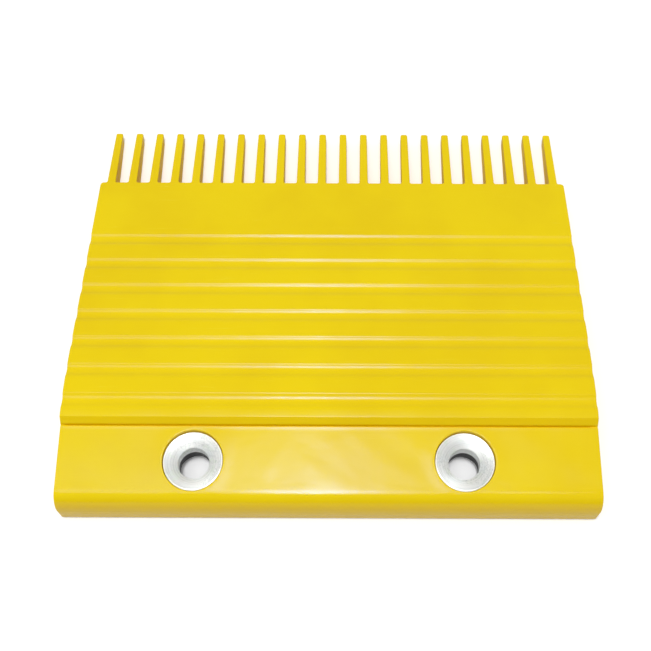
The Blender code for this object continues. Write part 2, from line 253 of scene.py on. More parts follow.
class Shell:
    """Gathers grids and flat fills as whole arrays, and welds them into one closed mesh."""

    def __init__(self):
        self.points = []
        self.faces = []
        self.count = 0

    def add(self, points, faces):
        """Points as an (n, 3) array, and faces as an array of places among them."""
        self.points.append(points)
        self.faces += (np.asarray(faces) + self.count).tolist()
        self.count += len(points)

    def grid(self, points, wrap_rows=False, wrap_columns=False):
        """A sheet of quads over an (n, m, 3) array, whose ends may meet either way."""
        rows, columns = points.shape[:2]
        place = np.arange(rows * columns).reshape(rows, columns)
        if wrap_rows:
            place = np.vstack([place, place[:1]])
        if wrap_columns:
            place = np.hstack([place, place[:, :1]])
        corners = [place[:-1, :-1], place[1:, :-1], place[1:, 1:], place[:-1, 1:]]
        self.add(points.reshape(-1, 3), np.stack(corners, axis=-1).reshape(-1, 4))

    def cap(self, ring):
        """One flat face with the ring as its edge."""
        self.add(ring, np.arange(len(ring))[None])

    def fill(self, loops, spots):
        """A fill between loops of points, outer edge first, with loose spots inside.

        The plan is cut into Delaunay triangles along the loops, and a triangle stays if a line
        along x from its middle crosses the loops an odd number of times.
        """
        ends = np.cumsum([len(loop) for loop in loops])
        place = np.arange(ends[-1])
        after = place + 1
        after[ends - 1] = ends - [len(loop) for loop in loops]
        points = np.concatenate([*loops, spots])
        plan = (points[:, :2] / MM).tolist()
        edges = np.stack([place, after], axis=1).tolist()
        found = delaunay_2d_cdt(plan, edges, [], 0, 1e-7, True)
        source = np.array([origin[0] for origin in found[3]])
        triangles = source[np.array(found[2])]
        middle = points[triangles, :2].mean(axis=1)
        start, end = points[place, :2], points[after, :2]
        above = (start[:, 1] > middle[:, 1:]) != (end[:, 1] > middle[:, 1:])
        rise = end[:, 1] - start[:, 1]
        rise[rise == 0] = 1.0
        crossing = start[:, 0] + (middle[:, 1:] - start[:, 1]) * (end[:, 0] - start[:, 0]) / rise
        inside = (above & (crossing > middle[:, :1])).sum(axis=1) % 2 == 1
        self.add(points, triangles[inside])

    def make(self, name):
        """The welded object, with its faces turned outwards and shaded smooth."""
        mesh = bpy.data.meshes.new(name)
        mesh.from_pydata(np.concatenate(self.points).tolist(), [], self.faces)
        shell = bmesh.new()
        shell.from_mesh(mesh)
        bmesh.ops.remove_doubles(shell, verts=shell.verts, dist=0.002 * MM)
        bmesh.ops.recalc_face_normals(shell, faces=shell.faces)
        shell.to_mesh(mesh)
        shell.free()
        mesh.shade_smooth()
        mesh.set_sharp_from_angle(angle=math.radians(50.0))
        piece = bpy.data.objects.new(name, mesh)
        bpy.context.scene.collection.objects.link(piece)
        normals = piece.modifiers.new("weighted_normals", "WEIGHTED_NORMAL")
        normals.keep_sharp = True
        return piece


def rounded_path(corners, spacing, closed, arc_step=math.radians(12.0)):
    """A path through corners (a, b, radius), with the unit normals on its right-hand side.

    At each corner an arc runs from the way in to the way out: its points are the arc's centre plus
    the radius times the turning normal. Straight runs get a point about every spacing.
    """
    spots = np.array([corner[:2] for corner in corners], dtype=float)
    reach = len(spots) if closed else len(spots) - 1
    ways = np.roll(spots, -1, axis=0) - spots
    ways /= np.linalg.norm(ways, axis=1)[:, None]
    normals = np.stack([ways[:, 1], -ways[:, 0]], axis=1)
    arcs = []
    for index, (spot, corner) in enumerate(zip(spots, corners)):
        open_end = not closed and index in (0, len(spots) - 1)
        normal = normals[index if index < reach else index - 1]
        if open_end:
            arcs.append((spot[None], normal[None]))
            continue
        before, normal = normals[index - 1], normals[index]
        turn = math.atan2(before[0] * normal[1] - before[1] * normal[0], before @ normal)
        side = math.copysign(1.0, turn)
        start = spot - ways[index - 1] * corner[2] * math.tan(abs(turn) / 2)
        centre = start - before * corner[2] * side
        angles = np.linspace(0.0, turn, max(2, round(abs(turn) / arc_step) + 1))
        if corner[2] == 0:
            angles = np.array([turn / 2])
        cosine, sine = np.cos(angles), np.sin(angles)
        turned = np.stack(
            [before[0] * cosine - before[1] * sine, before[0] * sine + before[1] * cosine], axis=1
        )
        arcs.append((centre + side * corner[2] * turned, turned))
    points, sides = [], []
    for index, (arc, arc_normals) in enumerate(arcs):
        points.append(arc)
        sides.append(arc_normals)
        if index < reach:
            goal = arcs[(index + 1) % len(arcs)][0][0]
            gap = np.linalg.norm(goal - arc[-1])
            share = np.linspace(0.0, 1.0, max(1, round(gap / spacing)) + 1)[1:-1, None]
            points.append(arc[-1] + (goal - arc[-1]) * share)
            sides.append(np.repeat(normals[index][None], len(share), axis=0))
    return np.concatenate(points), np.concatenate(sides)


def quarter(count):
    """Angles from 0 to a right angle."""
    return np.linspace(0.0, math.pi / 2, count + 1)


def smooth_share(value):
    """0 below 0, 1 above 1, and a smooth cubic between."""
    value = np.clip(value, 0.0, 1.0)
    return value * value * (3 - 2 * value)


class PlateForm:
    """Stations along the plate and its heights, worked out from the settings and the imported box."""

    def __init__(self):
        self.s = s = moulding_settings()
        self.b = b = bush_settings()
        self.half = s.tooth_count * s.tooth_pitch / 2
        self.back = CAD_LOW.y
        self.step = self.back + s.land_depth
        self.last_groove = self.step + s.first_groove + (s.groove_count - 1) * s.groove_pitch
        self.join = self.last_groove + self.groove_reach(s.groove_far_edge) + s.edge_radius
        self.root = self.last_groove + s.smooth_band
        self.tip = self.root + s.tooth_length
        self.nose_y = self.back + s.nose_depth
        self.brow_y = self.nose_y + s.brow_radius * math.sin(s.land_angle)
        self.brow_z = self.land(self.nose_y) - s.brow_radius * math.cos(s.land_angle)
        self.brow_end = self.brow_y - s.brow_radius * math.sin(s.brow_angle)
        # The nose's ellipse turns by t up to the brow, where its slope is the brow's own, so
        # cos t / (1 + cos t) is that slope times the reach over the fall.
        reach = self.brow_end - self.back
        fall = self.brow_z + s.brow_radius * math.cos(s.brow_angle) - s.nose_foot
        share = math.tan(s.brow_angle) * reach / fall
        self.nose_turn = math.acos(share / (1 - share))
        self.nose_along = reach / (1 - math.cos(self.nose_turn))
        self.nose_down = fall / math.sin(self.nose_turn)
        self.bush_y = self.step - b.from_step
        self.bush_top = self.land(self.bush_y - b.flange_radius) - b.flange_sink
        self.recess_radius = b.flange_radius + b.recess_gap
        self.tooth_x = (np.arange(s.tooth_count) - (s.tooth_count - 1) / 2) * s.tooth_pitch

    def land(self, y):
        """Height of the land's plane."""
        return self.s.land_top_height + (y - self.step) * math.tan(self.s.land_angle)

    def rear(self, y):
        """Height of the land, of the brow's arc behind it, and of the nose's ellipse behind that.

        The ellipse leaves the arc at the same slope and meets the back wall upright.
        """
        s = self.s
        behind = np.minimum(self.brow_y - y, s.brow_radius)
        arc = self.brow_z + np.sqrt(s.brow_radius**2 - behind**2)
        away = 1 - (y - self.back) / self.nose_along
        nose = s.nose_foot + self.nose_down * np.sqrt(np.maximum(1 - away**2, 0.0))
        return np.where(y > self.nose_y, self.land(y), np.where(y > self.brow_end, arc, nose))

    def flange_lift(self, y):
        """Height of the tilted flange above its back rim."""
        return (y - self.bush_y + self.b.flange_radius) * math.tan(self.b.flange_tilt)

    def crown(self, y):
        """Height of the ramp without grooves: a straight slope, and a circle near the step."""
        s = self.s
        end = self.step + s.crown_end
        slope = s.ramp_foot_height + (self.root - np.maximum(y, end)) * math.tan(s.ramp_angle)
        centre = end - s.crown_radius * math.sin(s.ramp_angle)
        reach = np.sqrt(s.crown_radius**2 - (np.minimum(y, end) - centre) ** 2)
        return slope + reach - s.crown_radius * math.cos(s.ramp_angle)

    def groove_reach(self, edge):
        """Half width of a groove, whose depth is (hollow radius + edge radius) (1 - cos slope)."""
        s = self.s
        both = s.groove_radius + edge
        return math.sqrt(both**2 - (both - s.groove_depth) ** 2)

    def groove_half(self, away, edge):
        """Depth of half a groove, away from its middle: an arc, then an arc the other way."""
        s = self.s
        both, reach = s.groove_radius + edge, self.groove_reach(edge)
        bowl = np.sqrt(np.maximum(s.groove_radius**2 - away**2, 0.0))
        hollow = s.groove_depth - s.groove_radius + bowl
        outer = edge - np.sqrt(edge**2 - np.clip(reach - away, 0.0, reach * edge / both) ** 2)
        return np.where(away < reach * s.groove_radius / both, hollow, outer)

    def ramp(self, y):
        """Height of the grooved ramp: the crown less each groove, whose two edges differ.

        Near the step it also sinks by a square of the distance.
        """
        s = self.s
        along = y - self.step - s.first_groove
        nearest = np.clip(np.round(along / s.groove_pitch), 0, s.groove_count - 1)
        along = along - nearest * s.groove_pitch
        near = self.groove_half(np.abs(along), s.groove_near_edge)
        far = self.groove_half(np.abs(along), s.groove_far_edge)
        sunk = np.maximum(1 - (y - self.step) / s.step_ease_reach, 0.0) ** 2 * s.step_ease
        return self.crown(y) - np.where(along < 0, near, far) - sunk

    def waves(self, x, y):
        """Soft waves of the moulding: a sum of slanted sines, faded out at edges and recesses.

        Round each recess the land swells by the boss rise, as a smooth cubic of the distance.
        """
        rng = np.random.default_rng(7)
        nose_fade = 3 * MM
        total = np.zeros(np.broadcast(x, y).shape)
        for wave_x, wave_y in WAVES:
            turn = 2 * math.pi * (x / wave_x + y / wave_y) / MM
            total = total + np.sin(turn + rng.uniform(0, 6.3))
        edge = self.half - self.s.edge_radius
        fade = smooth_share((edge - np.abs(x)) / WAVE_FADE)
        fade = fade * smooth_share((self.join - y) / WAVE_FADE)
        fade = fade * smooth_share((y - self.nose_y) / nose_fade)
        away = np.hypot(np.abs(x) - self.b.spacing / 2, y - self.bush_y)
        beyond = away - self.recess_radius - self.b.recess_edge
        fade = fade * smooth_share((beyond - RIM_MARGIN) / WAVE_FADE)
        swell = self.s.boss_rise * (1 - smooth_share(beyond / self.s.boss_width))
        return self.s.waviness * total * fade + swell


def upper_profile(form):
    """The upper side from the back wall to the end of the grooves, as (y, z) rows.

    It is an ellipse and an arc over the nose, the land's line that lifts by a square at its end, a
    slot at the step's foot, the step's leaning face with its round edge, and the grooved ramp. It
    also gives the rows that the recesses lie between.
    """
    s = form.s
    dense, fine = 0.3 * MM, 0.6 * MM
    swing = np.linspace(0.0, form.nose_turn, 37)
    bend = np.linspace(s.brow_angle, s.land_angle, 13)[1:]
    ellipse_y = form.back + form.nose_along * (1 - np.cos(swing))
    nose_y = np.concatenate([ellipse_y, form.brow_y - s.brow_radius * np.sin(bend)])
    nose = np.stack([nose_y, form.rear(nose_y)], 1)
    edge_y = form.step - s.seam_width
    lip_reach, lip_row, lip_rows = 1.5 * MM, 0.25 * MM, 8
    plain_y = np.linspace(nose[-1, 0], edge_y - lip_rows * lip_row, 23)[1:]
    lip_y = edge_y - np.arange(lip_rows - 1, -1, -1) * lip_row
    land_y = np.concatenate([plain_y, lip_y])
    land = np.stack([land_y, form.land(land_y)], 1)
    land[:, 1] += s.seam_lip * np.clip((land_y - edge_y) / lip_reach + 1, 0.0, 1.0) ** 2
    slot_z = s.land_top_height - s.seam_depth
    slot = [(edge_y, slot_z), (form.step, slot_z)]
    top_y = form.step + s.step_lean
    ahead_y = top_y + 2 * s.step_edge_radius
    corners = [
        (form.step, s.land_top_height, 0.0),
        (top_y, form.ramp(top_y), s.step_edge_radius),
        (ahead_y, form.ramp(ahead_y), 0.0),
    ]
    step = rounded_path(corners, fine, False, math.radians(6.0))[0]
    step = step[step[:, 0] < top_y + s.step_edge_radius * 0.9]
    ramp_y = np.linspace(step[-1, 0], form.join, round((form.join - step[-1, 0]) / dense))[1:]
    ramp = np.stack([ramp_y, form.ramp(ramp_y)], 1)
    first = int((nose[:, 0] < form.bush_y - form.recess_radius - 2 * s.edge_radius).sum()) - 1
    return np.concatenate([nose, land, slot, step, ramp]), first, len(nose) + len(land) - 1


def wall_levels(s):
    """A wall's section from its foot to its top, with a quarter circle at either end.

    It gives the foot's insets and heights, and the top's insets and drops for a radius of 1.
    """
    foot = quarter(3)
    head = quarter(4)
    foot_inset = s.foot_radius * (1 - np.sin(foot))
    foot_height = s.foot_radius * (1 - np.cos(foot))
    return foot_inset, foot_height, 1 - np.cos(head), 1 - np.sin(head)


def body_rows(form, profile):
    """The loft of the plate's body: at each row a section up one side, across the top and down.

    A section's half width follows the round back corner, its edges are quarter circles, and its top
    is the profile's height plus the soft waves. The slot fills up towards the plate's sides.
    """
    s = form.s
    y, z = profile[:, 0], profile[:, 1]
    behind = np.clip(s.back_corner_radius - (y - form.back), 0.0, s.back_corner_radius)
    half = form.half - s.back_corner_radius + np.sqrt(s.back_corner_radius**2 - behind**2)
    under = np.clip(s.nose_foot_radius - (y - form.back), 0.0, s.nose_foot_radius)
    floor = s.nose_foot_radius - np.sqrt(s.nose_foot_radius**2 - under**2)
    foot_inset, foot_height, head_inset, head_drop = wall_levels(s)
    wall_x = np.concatenate([-foot_inset, -head_inset * s.edge_radius])
    wall_x = half[:, None] + wall_x
    foot_z = floor[:, None] + foot_height
    head_z = z[:, None] - head_drop * s.edge_radius
    wall_z = np.concatenate([foot_z, head_z], axis=1)
    across = np.linspace(-1.0, 1.0, 81)[1:-1]
    top_x = (half - s.edge_radius)[:, None] * across
    top_z = z[:, None] + form.waves(top_x, y[:, None])
    x = np.concatenate([-wall_x, top_x, wall_x[:, ::-1]], axis=1)
    height = np.concatenate([wall_z, top_z, wall_z[:, ::-1]], axis=1)
    near_slot = np.abs(y - form.step + s.seam_width / 2) < s.seam_width * 0.51
    in_slot = near_slot & (z < form.land(y) - s.seam_depth / 2)
    upper = np.arange(x.shape[1])[len(foot_height) : -len(foot_height)]
    slot = np.ix_(in_slot, upper)
    fill_reach = 2 * MM
    filled = 1 - smooth_share((form.half - np.abs(x[slot])) / fill_reach)
    height[slot] += 0.8 * s.seam_depth * filled
    return np.stack([x, np.broadcast_to(y[:, None], x.shape), height], axis=-1)


def comb_path(form):
    """Plan of the comb from the right end of the join, round every tooth, to its left end."""
    s = form.s
    corners = [(form.half, form.join, 0.0), (form.half, form.root, s.front_corner_radius)]
    for x in form.tooth_x[::-1]:
        root, tip = s.tooth_root_width / 2, s.tooth_tip_width / 2
        corners += [
            (x + root, form.root, s.tooth_root_radius),
            (x + tip, form.tip, s.tooth_tip_radius),
            (x - tip, form.tip, s.tooth_tip_radius),
            (x - root, form.root, s.tooth_root_radius),
        ]
    corners += [(-form.half, form.root, s.front_corner_radius), (-form.half, form.join, 0.0)]
    return rounded_path(corners, 2.4 * MM, False)


def comb_wall(form):
    """The comb's wall: the section of a wall carried along the comb's plan.

    A point is the path less the inset times the normal. The upper edge grows rounder at the tips,
    and the last few millimetres of a tooth are sheared back towards the foot.
    """
    s = form.s
    path, normals = comb_path(form)
    foot_inset, foot_height, head_inset, head_drop = wall_levels(s)
    at_tip = (path[:, 1] > form.root + s.tooth_length / 2) * np.clip(normals[:, 1], 0.0, 1.0) ** 2
    edge = s.edge_radius + (s.tip_top_radius - s.edge_radius) * at_tip
    rows = (len(path), 1)
    inset = np.concatenate([np.tile(foot_inset, rows), edge[:, None] * head_inset], axis=1)
    plan = path[:, None] - inset[..., None] * normals[:, None]
    head = form.crown(plan[:, len(foot_height) :, 1]) - edge[:, None] * head_drop
    z = np.concatenate([np.tile(foot_height, rows), head], axis=1)
    reach = 7 * MM
    lean = s.tip_undercut * smooth_share((plan[..., 1] - form.tip + reach) / reach)
    share = 1 - z / form.crown(form.tip)
    y = plan[..., 1] - lean * np.clip(share, 0.0, 1.0)
    return np.stack([plan[..., 0], y, z], axis=-1)


def ring(radius, x, y, count=128):
    """Points and unit directions of a level circle."""
    turn = np.linspace(0.0, 2 * math.pi, count, endpoint=False)
    way = np.stack([np.cos(turn), np.sin(turn)], axis=1)
    return np.array([x, y]) + radius * way, way


def bush_hole(form, side):
    """The stepped hole for a bush: a section carried round its axis.

    Its rim is a quarter circle below the sloping land, then it runs down to the seat, which tilts
    along with the flange, in to the sleeve's clearance and down to the underside.
    """
    s, b = form.s, form.b
    centre, way = ring(0.0, side * b.spacing / 2, form.bush_y)
    bend = quarter(4)
    foot = quarter(2)[::-1]
    seat = form.bush_top - b.flange_thickness - b.seat_gap
    sleeve = b.sleeve_radius + b.recess_gap
    rim = form.recess_radius + b.recess_edge * (1 - np.sin(bend))
    mouth = sleeve + s.foot_radius * (1 - np.sin(foot))
    radius = np.concatenate([rim, [form.recess_radius, sleeve], mouth])
    points = np.zeros((len(way), len(radius), 3))
    points[..., :2] = centre[:, None] + radius[:, None] * way[:, None]
    rim_z = form.rear(points[:, : len(bend), 1]) + s.boss_rise - b.recess_edge * (1 - np.cos(bend))
    points[:, : len(bend), 2] = rim_z
    points[:, len(bend) :, 2] = np.concatenate([[seat, seat], s.foot_radius * (1 - np.cos(foot))])
    flat = slice(len(bend), len(bend) + 2)
    points[:, flat, 2] += form.flange_lift(points[:, flat, 1])
    return points


def pocket_rows(form):
    """The three rows of pockets below, as (start, end, roof at start, roof at end, middles)."""
    s, b = form.s, form.b
    ramp_wall, land_wall, back_wall, front_wall = 3.4 * MM, 4.6 * MM, 4.0 * MM, 3.2 * MM
    cross_rib, boss_wall, sleeve_gap = 3.0 * MM, 3.0 * MM, 0.35 * MM
    middles = form.tooth_x[:-1] + s.tooth_pitch / 2
    boss = b.sleeve_radius + sleeve_gap + boss_wall + (s.tooth_pitch - s.tooth_root_width) / 2
    rear = middles[np.abs(np.abs(middles) - b.spacing / 2) > boss]
    web = form.step + s.step_edge_radius
    middle = form.step + s.first_groove + (s.groove_count - 1) // 2 * s.groove_pitch

    def land_roof(y):
        return form.land(y) - land_wall

    def ramp_roof(y):
        return float(form.crown(y)) - s.groove_depth - ramp_wall

    rows = [
        (form.back + back_wall, web - cross_rib, land_roof, rear),
        (web, middle - cross_rib / 2, ramp_roof, middles),
        (middle + cross_rib / 2, form.root - front_wall, ramp_roof, middles),
    ]
    return [(start, end, roof(start), roof(end), centres) for start, end, roof, centres in rows]


def pocket(form, start, end, roof_start, roof_end):
    """A pocket about x = 0: a rounded rectangle carried up to a sloping roof with a round edge."""
    s = form.s
    half = (s.tooth_pitch - s.tooth_root_width) / 2
    corner, bend, past_any_side = 0.8 * MM, 0.6 * MM, 40 * MM
    spots = ((half, start), (half, end), (-half, end), (-half, start))
    plan = [(*spot, corner) for spot in spots]
    path, normals = rounded_path(plan, past_any_side, True, math.radians(30.0))
    head = quarter(3)
    inset = np.concatenate([[0.0], bend * (1 - np.cos(head))])
    drop = np.concatenate([[0.0], bend * (1 - np.sin(head))])
    spot = path[:, None] - inset[:, None] * normals[:, None]
    share = (spot[..., 1] - start) / (end - start)
    z = roof_start + (roof_end - roof_start) * share - drop
    z[:, 0] = 0.0
    return np.stack([spot[..., 0], spot[..., 1], z], axis=-1)


def make_moulding():
    """The moulding as one closed surface: body loft, comb wall, flat fills, holes and pockets."""
    form = PlateForm()
    s, b = form.s, form.b
    shell = Shell()
    profile, first_land, last_land = upper_profile(form)
    body = body_rows(form, profile)
    side = len(wall_levels(s)[0]) + len(wall_levels(s)[2])
    low_rows = int((profile[:, 0] < form.back + s.nose_foot_radius).sum()) + 1
    shell.grid(body[: low_rows + 1], wrap_columns=True)
    shell.grid(body[low_rows : first_land + 1])
    for columns in (slice(None, side), slice(-side, None)):
        shell.grid(body[first_land : last_land + 1, columns])
    shell.grid(body[last_land:])
    shell.cap(body[0])

    wall = comb_wall(form)
    shell.grid(wall)
    top = slice(side - 1, body.shape[1] - side + 1)
    nothing = np.zeros((0, 3))
    shell.fill([np.concatenate([wall[:, -1], body[-1, top][1:-1]])], nothing)

    holes = [bush_hole(form, sign) for sign in (-1, 1)]
    for hole in holes:
        shell.grid(hole, wrap_rows=True)
    land = body[first_land : last_land + 1, top]
    outline = np.concatenate([land[0], land[1:-1, -1], land[-1, ::-1], land[1:-1, 0][::-1]])
    spots = land[1:-1, 1:-1].reshape(-1, 3)
    away = np.hypot(np.abs(spots[:, 0]) - b.spacing / 2, spots[:, 1] - form.bush_y)
    spots = spots[away > form.recess_radius + b.recess_edge + RIM_MARGIN]
    shell.fill([outline, holes[0][:, 0], holes[1][:, 0]], spots)

    mouths = []
    for start, end, roof_start, roof_end, centres in pocket_rows(form):
        surface = pocket(form, start, end, roof_start, roof_end)
        for x in centres:
            placed = surface + np.array([x, 0.0, 0.0])
            shell.grid(placed, wrap_rows=True)
            shell.cap(placed[:, -1])
            mouths.append(placed[:, 0])
    sole = body[low_rows:]
    outline = np.concatenate([sole[:, -1], wall[1:-1, 0], sole[::-1, 0]])
    shell.fill([outline, holes[0][:, -1], holes[1][:, -1], *mouths], nothing)
    return shell.make("moulding")


def bush_section(form):
    """A bush's closed section as (radius, height), with every corner an arc."""
    b = form.b
    top = form.bush_top
    under = top - b.flange_thickness
    dish = b.flange_radius - b.dish_rim
    seat = top - b.dish_depth
    edge = b.flange_edge
    crisp, sharp, soft = 0.12 * MM, 0.2 * MM, 4.0 * MM
    return [
        (dish, top, crisp),
        (b.dish_bend, top - b.dish_bend_depth, soft),
        (b.bore_radius, seat, b.mouth_radius),
        (b.bore_radius, b.relief_height, sharp),
        (b.relief_radius, b.relief_height, sharp),
        (b.relief_radius, 0.0, sharp),
        (b.sleeve_radius, 0.0, edge),
        (b.sleeve_radius, under, sharp),
        (b.flange_radius, under, sharp),
        (b.flange_radius, top, edge),
    ]


def make_bush(name, side):
    """A bush: its closed section carried round its axis, with a map of its turns.

    The flange is sheared to its tilt, which fades out down the sleeve as a smooth cubic.
    """
    form = PlateForm()
    section = rounded_path(bush_section(form), 0.4 * MM, True, math.radians(15.0))[0]
    way = ring(1.0, 0.0, 0.0, 192)[1]
    points = np.empty((len(way), len(section), 3))
    points[..., :2] = section[:, 0][:, None] * way[:, None]
    points[..., 2] = section[:, 1]
    points[..., :2] += (side * form.b.spacing / 2, form.bush_y)
    under = form.bush_top - form.b.flange_thickness
    fade = 3 * MM
    tilted = smooth_share((points[..., 2] - under) / fade + 1)
    points[..., 2] += form.flange_lift(points[..., 1]) * tilted
    shell = Shell()
    shell.grid(points, wrap_rows=True, wrap_columns=True)
    piece = shell.make(name)
    map_turns(piece, side * form.b.spacing / 2, form.bush_y)
    return piece


def read_all(items, name, kind, width=1):
    """One property of all the items, as a flat array."""
    values = np.empty(len(items) * width, dtype=kind)
    items.foreach_get(name, values)
    return values


def map_turns(piece, x, y):
    """A map on a turned piece: u is the turn about its axis, v its height plus radius over 40 mm.

    The turn of a face's corners is kept on one side of the seam.
    """
    mesh = piece.data
    start = read_all(mesh.polygons, "loop_start", int)
    total = read_all(mesh.polygons, "loop_total", int)
    corner = read_all(mesh.loops, "vertex_index", int)
    spots = read_all(mesh.vertices, "co", float, 3).reshape(-1, 3)[corner]
    turn = np.arctan2(spots[:, 1] - y, spots[:, 0] - x) / (2 * math.pi)
    turn += np.round(np.repeat(turn[start], total) - turn)
    reach = np.hypot(spots[:, 0] - x, spots[:, 1] - y) + spots[:, 2]
    whole = 40 * MM
    layer = mesh.uv_layers.new(name=TURNS)
    layer.data.foreach_set("uv", np.stack([turn, reach / whole], axis=1).ravel())


def new_material(name):
    """A material with its tree, its Principled shader and its object coordinates."""
    material = bpy.data.materials.new(name)
    material.use_nodes = True
    tree = material.node_tree
    shader = tree.nodes["Principled BSDF"]
    place = tree.nodes.new("ShaderNodeTexCoord").outputs["Object"]
    return material, tree, shader, place


def feed(tree, node, values):
    """Fill a node's inputs: a socket is linked, a colour gets its alpha, the rest is written in."""
    for name, value in values.items():
        socket = node.inputs[name]
        if isinstance(value, bpy.types.NodeSocket):
            tree.links.new(value, socket)
        else:
            socket.default_value = (*value, 1.0) if socket.type == "RGBA" else value


def new_node(tree, kind, values, **settings):
    """Make a shader node of a kind, set it up, fill its inputs, and give its outputs."""
    node = tree.nodes.new("ShaderNode" + kind)
    for name, value in settings.items():
        setattr(node, name, value)
    feed(tree, node, values)
    return node.outputs


def mapped(tree, place, scale, location=(0.0, 0.0, 0.0)):
    """The place scaled along each axis and then moved by location."""
    values = {"Vector": place, "Scale": scale, "Location": location}
    return new_node(tree, "Mapping", values)["Vector"]


def parted(tree, vector):
    """The x, y and z of a vector."""
    outputs = new_node(tree, "SeparateXYZ", {"Vector": vector})
    return outputs["X"], outputs["Y"], outputs["Z"]


def noise(tree, place, scale, detail=2.0, roughness=0.5, distortion=0.0):
    """Fractal noise of a place, from 0 to 1."""
    values = {"Vector": place, "Scale": scale, "Detail": detail}
    values |= {"Roughness": roughness, "Distortion": distortion}
    return new_node(tree, "TexNoise", values)["Fac"]


def ranged(tree, value, low, high, new_low, new_high):
    """A value carried smoothly from one range to another."""
    values = {"Value": value, "From Min": low, "From Max": high}
    values |= {"To Min": new_low, "To Max": new_high}
    return new_node(tree, "MapRange", values, interpolation_type="SMOOTHSTEP")["Result"]


def calculated(tree, operation, first, second):
    """A sum, product or other operation on two values, either of them a plain number."""
    return new_node(tree, "Math", {0: first, 1: second}, operation=operation)["Value"]


def blended(tree, share, first, second):
    """A mix of two colours, each a colour or a socket."""
    values = {"Factor": share, MIX_FIRST: first, MIX_SECOND: second}
    return new_node(tree, "Mix", values, data_type="RGBA")[MIX_RESULT]


def bumped(tree, height, distance, before=None):
    """A bump normal of a height from 0 to 1 that stands distance high, on a normal from before."""
    values = {"Height": height, "Distance": distance, "Strength": 1.0}
    if before is not None:
        values["Normal"] = before
    return new_node(tree, "Bump", values)["Normal"]


def plastic_material():
    """Moulded yellow plastic: cloudy colour, fine scuffs along the plate, and a faint grain.

    Steep faces get a deeper, more orange yellow of painted shade. The nose is twice as smooth as the
    rest, and the shine grows soft where the surface is seen edge-on.
    """
    s = moulding_settings()
    material, tree, shader, place = new_material("moulded_yellow_plastic")
    clouds = ranged(tree, noise(tree, place, 26.0, 3.0), 0.35, 0.72, 0.0, 1.0)
    body = blended(tree, clouds, s.plastic, s.plastic_dark)
    streaks = noise(tree, mapped(tree, place, (60.0, 900.0, 300.0)), 1.0, 4.0, 0.6, 0.4)
    scuffs = ranged(tree, streaks, 0.60, 0.80, 0.0, 0.35)
    body = blended(tree, scuffs, body, s.plastic_scuff)
    upward = parted(tree, place.node.outputs["Normal"])[2]
    # Painted shade: the share of the steep faces' deeper yellow, rising as a face turns from upright.
    steep = ranged(tree, upward, 0.35, 0.85, 1.0, 0.0)
    patches = ranged(tree, noise(tree, place, 70.0, 3.0), 0.3, 0.7, 0.18, 0.24)
    rough = calculated(tree, "ADD", patches, calculated(tree, "MULTIPLY", scuffs, 0.2))
    nose_y, blur = CAD_LOW.y + s.nose_depth, 3 * MM
    along = ranged(tree, parted(tree, place)[1], nose_y - blur, nose_y + blur, 0.5, 1.0)
    rough = calculated(tree, "MULTIPLY", rough, along)
    glancing = tree.nodes.new("ShaderNodeLayerWeight").outputs["Facing"]
    soft = bumped(tree, noise(tree, place, 120.0), 0.06 * MM)
    finish = {
        # The steep faces' painted shade goes into the base colour here.
        "Base Color": blended(tree, steep, body, s.plastic_side_painted_shade),
        "Roughness": calculated(tree, "ADD", rough, ranged(tree, glancing, 0.5, 0.9, 0.0, 0.4)),
        "Normal": bumped(tree, noise(tree, place, 2600.0), 0.004 * MM, soft),
        "Specular IOR Level": 0.25,
        "Specular Tint": (0.3, 0.5, 1.0),
    }
    feed(tree, shader, finish)
    return material


